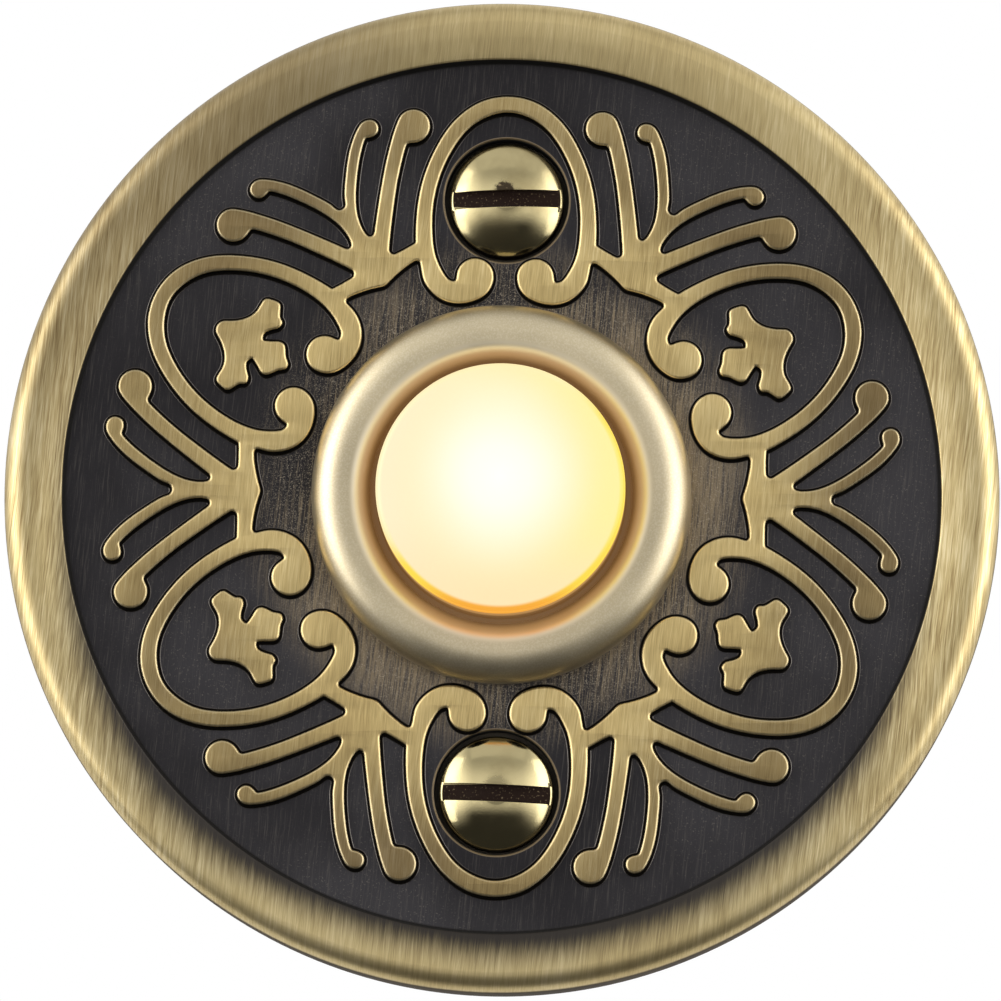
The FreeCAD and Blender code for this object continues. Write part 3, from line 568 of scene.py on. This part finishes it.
def spun(corners, steps=128, closed=True, segments=6):
    shape = profileShape(corners, closed, segments)
    bmesh.ops.spin(shape, geom=shape.verts[:] + shape.edges[:], cent=(0, 0, 0), axis=(0, 1, 0),
                   dvec=(0, 0, 0), angle=2 * math.pi, steps=steps, use_merge=True, use_duplicate=False)
    return shape


def addPiece(name, shape, material, sharpAngle=35.0):
    bmesh.ops.remove_doubles(shape, verts=shape.verts[:], dist=1e-7)
    bmesh.ops.recalc_face_normals(shape, faces=shape.faces[:])
    mesh = bpy.data.meshes.new(name)
    shape.to_mesh(mesh)
    shape.free()
    return addMesh(name, mesh, material, sharpAngle)


def addMesh(name, mesh, material, sharpAngle=35.0):
    mesh.materials.clear()
    mesh.materials.append(material)
    mesh.shade_smooth()
    mesh.set_sharp_from_angle(angle=math.radians(sharpAngle))
    piece = bpy.data.objects.new(name, mesh)
    scene.collection.objects.link(piece)
    return piece


def combine(piece, tools, operation):
    for tool in tools:
        modifier = piece.modifiers.new(operation, "BOOLEAN")
        modifier.operation = operation
        modifier.solver = "EXACT"
        modifier.object = tool
    bpy.context.view_layer.update()
    finished = bpy.data.meshes.new_from_object(piece.evaluated_get(bpy.context.evaluated_depsgraph_get()))
    piece.modifiers.clear()
    piece.data = finished
    for tool in tools:
        bpy.data.objects.remove(tool)
    finished.shade_smooth()
    finished.set_sharp_from_angle(angle=math.radians(35.0))


def settle(piece, body, slotName, *replaced):
    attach(piece, body)
    if replaced:
        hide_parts(*replaced)


# cast plate
plateSizes = {
    "radius": 31.75,
    "front": -5.85,
    "edgeRound": 1.3,
    "rimInner": 28.0,
    "rimInnerFront": -5.5,
    "rimCrownRadius": 29.875,
    "crownRound": 0.55,
    "rimFoot": 27.88,
    "field": -4.6,
    "webBack": -2.8,
    "hollow": 29.95,
    "bore": 10.5,
    "screwHeight": 19.05,
    "seatHeight": 19.0,
    "seatRadius": 3.95,
    "seatFloor": -2.6,
    "holeRadius": 2.2,
    "bossRadius": 5.5,
}


def shifted(shape, z):
    bmesh.ops.translate(shape, verts=shape.verts[:], vec=(0, 0, z * mm))
    return shape


def makePlate(sizes):
    plate = addPiece("plateBody", spun([
        (sizes["bore"], sizes["field"], 0.12),
        (sizes["rimFoot"], sizes["field"], 0.1),
        (sizes["rimInner"], sizes["rimInnerFront"], 0.12),
        (sizes["rimCrownRadius"], sizes["front"], sizes["crownRound"]),
        (sizes["radius"], sizes["front"], sizes["edgeRound"]),
        (sizes["radius"], 0, 0.12),
        (sizes["hollow"], 0, 0.1),
        (sizes["hollow"], sizes["webBack"], 0.25),
        (sizes["bore"], sizes["webBack"], 0.1),
    ], steps=240, segments=8), platePatina)
    bosses = []
    cutters = []
    for side in (1, -1):
        height = side * sizes["screwHeight"]
        boss = spun([
            (0, sizes["webBack"] - 0.4, 0),
            (sizes["bossRadius"], sizes["webBack"] - 0.4, 0),
            (sizes["bossRadius"], 0, 0.15),
            (0, 0, 0),
        ], steps=64, closed=False, segments=3)
        seat = spun([
            (0, sizes["front"], 0),
            (sizes["seatRadius"] + 0.12, sizes["front"], 0),
            (sizes["seatRadius"] + 0.12, sizes["field"] - 0.02, 0),
            (sizes["seatRadius"], sizes["field"] + 0.12, 0),
            (sizes["seatRadius"], sizes["seatFloor"], 0),
            (0, sizes["seatFloor"], 0),
        ], steps=96, closed=False)
        hole = spun([
            (0, sizes["seatFloor"] - 0.5, 0),
            (sizes["holeRadius"], sizes["seatFloor"] - 0.5, 0),
            (sizes["holeRadius"], 1, 0),
            (0, 1, 0),
        ], steps=48, closed=False)
        bosses.append(addPiece("boss", shifted(boss, height), platePatina))
        cutters.append(addPiece("seat", shifted(seat, side * sizes["seatHeight"]), platePatina))
        cutters.append(addPiece("hole", shifted(hole, height), platePatina))
    combine(plate, bosses, "UNION")
    combine(plate, cutters, "DIFFERENCE")
    settle(plate, "plate", "antique_brass", "escutcheon")


makePlate(plateSizes)
print("plate ready")

# raised scrollwork: the outline of the CAD relief, with rounded shoulders and a soft foot
scrollSizes = {
    "top": -5.2,
    "foot": -4.55,
    "shoulder": 0.2,
    "shrink": 0.08,
    "widestRadius": 26.5,
    "smoothing": 4,
    "field": -4.6,
    "footSpread": 0.3,
    "footRise": 0.035,
}


def reliefOutlines(sizes):
    shape = bmesh.new()
    shape.from_mesh(cadNodes["escutcheon"].data)
    bmesh.ops.remove_doubles(shape, verts=shape.verts[:], dist=1e-6)
    level = sizes["top"] * mm
    others = [
        face for face in shape.faces
        if max(abs(vert.co.y - level) for vert in face.verts) > 2e-6
        or face.calc_center_median().xz.length > sizes["widestRadius"] * mm
    ]
    bmesh.ops.delete(shape, geom=others, context="FACES")
    outlines = []
    waiting = {edge for edge in shape.edges if edge.is_boundary}
    while waiting:
        edge = waiting.pop()
        outline = [edge.verts[0], edge.verts[1]]
        while True:
            onward = [e for e in outline[-1].link_edges if e in waiting]
            if not onward:
                break
            waiting.remove(onward[0])
            outline.append(onward[0].other_vert(outline[-1]))
        outlines.append([(vert.co.x, vert.co.z) for vert in outline[:-1]])
    shape.free()
    return outlines


def raisedOutlines(outlines, halfHeight, round, shrink, smoothing, steps):
    curve = bpy.data.curves.new("scrollOutline", "CURVE")
    curve.dimensions = "2D"
    curve.fill_mode = "BOTH"
    curve.offset = -shrink * mm
    curve.bevel_depth = round * mm
    curve.bevel_resolution = steps
    curve.extrude = (halfHeight - round) * mm
    for outline in outlines:
        spline = curve.splines.new("BEZIER")
        spline.bezier_points.add(len(outline) - 1)
        spline.use_cyclic_u = True
        spline.resolution_u = smoothing
        for knot, (x, z) in zip(spline.bezier_points, outline):
            knot.co = (x, z, 0)
            knot.handle_left_type = "AUTO"
            knot.handle_right_type = "AUTO"
    holder = bpy.data.objects.new("scrollOutline", curve)
    scene.collection.objects.link(holder)
    bpy.context.view_layer.update()
    mesh = bpy.data.meshes.new_from_object(holder.evaluated_get(bpy.context.evaluated_depsgraph_get()))
    bpy.data.objects.remove(holder)
    shape = bmesh.new()
    shape.from_mesh(mesh)
    return shape


def placeRelief(name, shape, middle, flatten, material):
    upright = Matrix.Rotation(math.pi / 2, 4, "X") @ Matrix.Scale(flatten, 4, (0, 0, 1))
    bmesh.ops.transform(shape, matrix=Matrix.Translation((0, middle * mm, 0)) @ upright, verts=shape.verts[:])
    bmesh.ops.remove_doubles(shape, verts=shape.verts[:], dist=2e-7)
    settle(addPiece(name, shape, material, 30.0), "plate", "antique_brass", "escutcheon")


def makeScrollwork(sizes):
    outlines = reliefOutlines(sizes)
    halfHeight = (sizes["foot"] - sizes["top"]) / 2
    relief = raisedOutlines(outlines, halfHeight, sizes["shoulder"], sizes["shrink"], sizes["smoothing"], 3)
    placeRelief("scrollwork", relief, sizes["top"] + halfHeight, 1.0, scrollBrass)
    spread = sizes["footSpread"]
    foot = raisedOutlines(outlines, spread, spread, 0.0, 2, 3)
    placeRelief("scrollFoot", foot, sizes["field"], sizes["footRise"] / spread, scrollFoot)


makeScrollwork(scrollSizes)
print("scrollwork ready")

# turned ring with its barrel
ringSizes = {
    "radius": 12.1,
    "crest": -7.4,
    "outerRound": 1.9,
    "lipRadius": 8.35,
    "lipRound": 1.4,
    "lipBack": -5.2,
    "bore": 9.2,
    "seatFront": 4.4,
    "seatBore": 9.5,
    "grooveFront": 7.4,
    "grooveBack": 8.2,
    "grooveRadius": 9.8,
    "rear": 9.4,
    "tailRadius": 10.2,
    "barrelRadius": 10.4,
    "field": -4.6,
}


def makeRing(sizes):
    ring = addPiece("bezelRing", spun([
        (sizes["lipRadius"], sizes["crest"], sizes["lipRound"]),
        (sizes["lipRadius"], sizes["lipBack"], 0.06),
        (sizes["bore"], sizes["lipBack"], 0),
        (sizes["bore"], sizes["seatFront"], 0),
        (sizes["seatBore"], sizes["seatFront"], 0),
        (sizes["seatBore"], sizes["grooveFront"], 0.05),
        (sizes["grooveRadius"], sizes["grooveFront"], 0),
        (sizes["grooveRadius"], sizes["grooveBack"], 0),
        (sizes["seatBore"], sizes["grooveBack"], 0.05),
        (sizes["seatBore"], sizes["rear"], 0.1),
        (sizes["tailRadius"], sizes["rear"], 0.25),
        (sizes["tailRadius"], 0, 0),
        (sizes["barrelRadius"], 0, 0.08),
        (sizes["barrelRadius"], sizes["field"], 0),
        (sizes["radius"], sizes["field"], 0.08),
        (sizes["radius"], sizes["crest"], sizes["outerRound"]),
    ], steps=192, segments=14), satinBrass)
    settle(ring, "plate", "satin_brass", "bezel_ring")


makeRing(ringSizes)
print("ring ready")

# slotted fixing screws
screwSizes = {
    "headRadius": 3.65,
    "headFloor": -2.6,
    "sideTop": -4.35,
    "apex": -5.35,
    "domeRadius": 6.908,
    "neckRadius": 2.0,
    "threadRadius": 1.75,
    "coreRadius": 1.3,
    "threadEnd": 15.5,
    "tip": 19.0,
    "pitch": 1.4,
    "slotWidth": 1.1,
    "slotFloor": -4.46,
    "slotRound": 0.05,
}


def roundSlot(screw, sizes):
    shape = bmesh.new()
    shape.from_mesh(screw.data)
    limit = sizes["slotFloor"] * mm + 1e-6
    edges = [
        edge for edge in shape.edges
        if edge.calc_face_angle(0) > math.radians(50) and max(vert.co.y for vert in edge.verts) < limit
        and min(vert.co.y for vert in edge.verts) < limit - 2e-6
    ]
    bmesh.ops.bevel(shape, geom=edges, offset=sizes["slotRound"] * mm, offset_type="OFFSET",
                    segments=2, profile=0.5, affect="EDGES", clamp_overlap=True, material=-1)
    shape.to_mesh(screw.data)
    shape.free()
    screw.data.shade_smooth()
    screw.data.set_sharp_from_angle(angle=math.radians(35.0))


def makeScrew(name, height, slotTurn, clot, node, sizes):
    material = screwMaterial(name + "Brass", screwFinish, height, clot)
    ringCount = 9
    dome = []
    for i in range(ringCount + 1):
        radius = sizes["headRadius"] * i / ringCount
        sag = sizes["domeRadius"] - math.sqrt(sizes["domeRadius"] ** 2 - radius ** 2)
        dome.append((radius, sizes["apex"] + sag, 0.05 if i == ringCount else 0))
    shape = spun(dome + [
        (sizes["headRadius"], sizes["headFloor"], 0.08),
        (sizes["neckRadius"], sizes["headFloor"], 0),
        (sizes["neckRadius"], 0, 0.1),
        (sizes["coreRadius"], 0.3, 0),
        (sizes["coreRadius"], sizes["threadEnd"], 0),
        (0, sizes["tip"], 0),
    ], steps=96, closed=False, segments=3)
    screw = addPiece(name, shifted(shape, height), material)
    slot = bmesh.new()
    bmesh.ops.create_cube(slot, size=1.0)
    slotDepth = sizes["slotFloor"] - sizes["apex"]
    bmesh.ops.scale(slot, vec=(10 * mm, 2 * slotDepth * mm, sizes["slotWidth"] * mm), verts=slot.verts[:])
    bmesh.ops.rotate(slot, matrix=Matrix.Rotation(math.radians(slotTurn), 3, "Y"), verts=slot.verts[:])
    bmesh.ops.translate(slot, vec=(0, sizes["apex"] * mm, height * mm), verts=slot.verts[:])
    combine(screw, [addPiece("slot", slot, material)], "DIFFERENCE")
    roundSlot(screw, sizes)
    settle(screw, "plate", "polished_brass", node)
    thread = profileShape([
        (sizes["coreRadius"] - 0.05, -0.45, 0),
        (sizes["threadRadius"], -0.06, 0),
        (sizes["threadRadius"], 0.06, 0),
        (sizes["coreRadius"] - 0.05, 0.45, 0),
    ], True, 1)
    turns = (sizes["threadEnd"] - 1.4) / sizes["pitch"]
    steps = round(turns * 32)
    bmesh.ops.translate(thread, verts=thread.verts[:], vec=(0, 0.9 * mm, 0))
    bmesh.ops.spin(thread, geom=thread.verts[:] + thread.edges[:], cent=(0, 0, 0), axis=(0, 1, 0),
                   dvec=(0, sizes["pitch"] / 32 * mm, 0), angle=2 * math.pi * turns, steps=steps,
                   use_merge=False, use_duplicate=False)
    bmesh.ops.holes_fill(thread, edges=[edge for edge in thread.edges if edge.is_boundary], sides=0)
    ridge = addPiece(name + "Thread", shifted(thread, height), material)
    settle(ridge, "plate", "polished_brass", node)


makeScrew("upperScrew", plateSizes["screwHeight"], -2.0, 0.95, "upper_mounting_screw", screwSizes)
makeScrew("lowerScrew", -plateSizes["screwHeight"], 1.5, 0.3, "lower_mounting_screw", screwSizes)
print("screws ready")

# lit cap
capSizes = {
    "radius": 7.9,
    "front": -9.85,
    "crown": 0.08,
    "edgeRound": 0.45,
    "inner": -8.6,
    "bore": 6.8,
    "flangeRadius": 8.95,
    "flangeFront": -5.2,
    "flangeBack": -4.2,
}


def makeCap(sizes):
    edgeFront = sizes["front"] + sizes["crown"]
    cap = addPiece("litCap", spun([
        (0, sizes["front"], 0),
        (sizes["radius"] * 0.5, sizes["front"] + sizes["crown"] * 0.25, 0),
        (sizes["radius"], edgeFront, sizes["edgeRound"]),
        (sizes["radius"], sizes["flangeFront"], 0.15),
        (sizes["flangeRadius"], sizes["flangeFront"], 0.1),
        (sizes["flangeRadius"], sizes["flangeBack"], 0.1),
        (sizes["bore"], sizes["flangeBack"], 0),
        (sizes["bore"], sizes["inner"], 0.4),
        (0, sizes["inner"], 0),
    ], steps=160, closed=False, segments=8), litCap)
    settle(cap, "button", "lit_cap", "button_cap")


makeCap(capSizes)
print("cap ready")

# return spring: round wire, coiled to the CAD spring's length; it keeps that length and does not shorten as the button
# goes in
springSizes = {
    "wire": 0.5,
    "turns": 4,
    "stroke": 1.5,
}


def makeSpring(sizes):
    low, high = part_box("return_spring")
    wireRadius = sizes["wire"] / 2 * mm
    length = high[1] - low[1]
    steps = sizes["turns"] * 40
    rise = (length - 2 * wireRadius) / steps
    wire = bmesh.new()
    bmesh.ops.create_circle(wire, segments=12, radius=wireRadius)
    bmesh.ops.translate(wire, verts=wire.verts[:], vec=(high[0] - wireRadius, low[1] + wireRadius, 0))
    bmesh.ops.spin(wire, geom=wire.verts[:] + wire.edges[:], cent=(0, 0, 0), axis=(0, 1, 0),
                   dvec=(0, rise, 0), angle=2 * math.pi * sizes["turns"], steps=steps,
                   use_merge=False, use_duplicate=False)
    bmesh.ops.holes_fill(wire, edges=[edge for edge in wire.edges if edge.is_boundary], sides=0)
    spring = addPiece("returnSpring", wire, finishes["springSteel"])
    settle(spring, "plate", "spring_steel", "return_spring")
    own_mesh(spring)


makeSpring(springSizes)
print("spring ready")

# parts that keep their CAD shape
cadFinishes = {
    "lock_washer": "zincPlate",
    "lock_nut": "zincPlate",
    "contact_carrier": "ivoryPlastic",
    "contact_ring": "stripBrass",
    "upper_contact_rivet": "stripBrass",
    "lower_contact_rivet": "stripBrass",
    "switch_base": "darkPlastic",
    "retaining_ring": "springSteel",
    "lamp_holder": "ivoryPlastic",
    "lamp": "lampGlass",
    "right_lamp_lead": "tinnedWire",
    "left_lamp_lead": "tinnedWire",
    "right_contact_strip": "stripBrass",
    "left_contact_strip": "stripBrass",
    "right_terminal_screw": "terminalBrass",
    "left_terminal_screw": "terminalBrass",
}
for nodeName, finishName in cadFinishes.items():
    cadNodes[nodeName].data.materials.clear()
    cadNodes[nodeName].data.materials.append(finishes[finishName])
print("inner parts ready")

# studio: white behind; in front soft light that is brightest at the sides, lower above, dark
# below and darkened where the camera stands
studioSetup = {
    "frontLevel": 1.2,
    "topLevel": 0.55,
    "lowLevel": 0.04,
    "sideLevel": 1.1,
    "lensLevel": 0.3,
    "backLevel": 1.0,
    "floorHeight": -0.12,
}


def makeWorld(setup):
    world = bpy.data.worlds.new("studio")
    world.use_nodes = True
    scene.world = world
    tree = world.node_tree
    heading = addNode(tree, "ShaderNodeTexCoord", {}, {}).outputs["Generated"]
    parts = addNode(tree, "ShaderNodeSeparateXYZ", {}, {0: heading}).outputs
    rising = remap(tree, parts[2], -0.36, -0.04, setup["lowLevel"], setup["frontLevel"])
    dimming = remap(tree, parts[2], 0.25, 0.65, 0.0, setup["frontLevel"] - setup["topLevel"])
    middle = calc(tree, "SUBTRACT", rising, dimming)
    side = remap(tree, calc(tree, "ABSOLUTE", parts[0]), 0.4, 0.75, 0.0, setup["sideLevel"])
    side = calc(tree, "MULTIPLY", side, remap(tree, parts[2], -0.55, -0.2))
    above = calc(tree, "SUBTRACT", parts[2], 0.1)
    offAxis = calc(tree, "SQRT", calc(tree, "ADD", calc(tree, "MULTIPLY", parts[0], parts[0]), calc(tree, "MULTIPLY", above, above)))
    lens = remap(tree, offAxis, 0.14, 0.34, setup["lensLevel"], 1.0)
    front = calc(tree, "MULTIPLY", calc(tree, "ADD", middle, side), lens)
    back = remap(tree, parts[2], -0.4, -0.05, setup["lowLevel"], setup["backLevel"])
    behind = remap(tree, parts[1], -0.05, 0.25)
    level = addNode(tree, "ShaderNodeMix", {"data_type": "FLOAT"}, {0: behind, 2: front, 3: back}).outputs[0]
    feed(tree, tree.nodes["Background"].inputs["Strength"], level)
    tree.nodes["Background"].inputs["Color"].default_value = (1, 1, 1, 1)


def addLamp(name, place, size, power):
    lamp = bpy.data.lights.new(name, "AREA")
    lamp.shape = "RECTANGLE"
    lamp.size, lamp.size_y = size
    lamp.energy = power
    holder = bpy.data.objects.new(name, lamp)
    holder.location = place
    holder.rotation_euler = (-Vector(place)).to_track_quat("-Z", "Y").to_euler()
    scene.collection.objects.link(holder)


def makeFloor(height):
    shape = bmesh.new()
    bmesh.ops.create_grid(shape, x_segments=2, y_segments=2, size=0.5)
    bmesh.ops.translate(shape, verts=shape.verts[:], vec=(0, 0.5, height))
    material, tree, shader = newMaterial("floorPaint", {"Roughness": 0.8})
    tone = useGroup(tree, mottle, {"Patch Size": 40.0})
    pale = mixColour(tree, tone["Patches"], (0.86, 0.86, 0.86, 1), (0.8, 0.8, 0.8, 1))
    feed(tree, shader["Base Color"], pale)
    floor = addPiece("floor", shape, material)


makeWorld(studioSetup)
addLamp("leftLamp", (-0.62, -0.34, 0.08), (0.4, 0.9), 2.1)
addLamp("rightLamp", (0.62, -0.34, 0.08), (0.4, 0.9), 1.7)
addLamp("topLamp", (0.0, -0.42, 0.66), (0.8, 0.4), 0.3)
makeFloor(studioSetup["floorHeight"])
print("studio ready")
